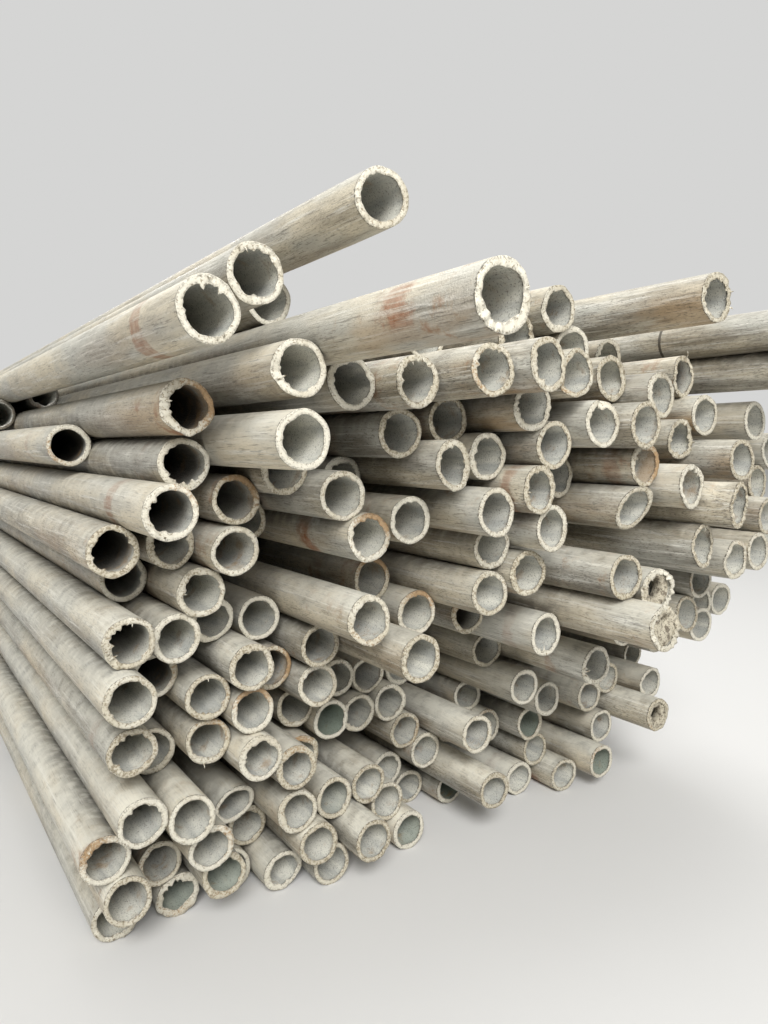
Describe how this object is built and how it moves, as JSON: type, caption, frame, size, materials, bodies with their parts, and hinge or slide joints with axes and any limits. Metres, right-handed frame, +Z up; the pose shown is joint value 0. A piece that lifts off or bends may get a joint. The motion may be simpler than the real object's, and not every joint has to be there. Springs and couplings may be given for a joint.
{
  "type": "stack of steel tubes",
  "caption": "Stack of long round galvanised steel tubes with uneven sawn ends, weathered, lying parallel in a heap.",
  "frame": {"origin": "on the floor, at the middle of the stack's outline", "axes": "+Y along the tubes, away from the near ends; +Z up; +X to the right as seen from the near ends"},
  "size_m": [0.9534, 7.0384, 0.7228],
  "materials": {
    "galvanised_tube": "weathered galvanised, dull, with rust and dust"
  },
  "bodies": {
    "root": {"layer_01": "galvanised_tube", "layer_02": "galvanised_tube", "layer_03": "galvanised_tube", "layer_04": "galvanised_tube", "layer_05": "galvanised_tube", "layer_06": "galvanised_tube", "layer_07": "galvanised_tube", "layer_08": "galvanised_tube", "layer_09": "galvanised_tube", "layer_10": "galvanised_tube", "layer_11": "galvanised_tube", "layer_12": "galvanised_tube", "layer_13": "galvanised_tube", "layer_14": "galvanised_tube"}
  },
  "joints": []
}
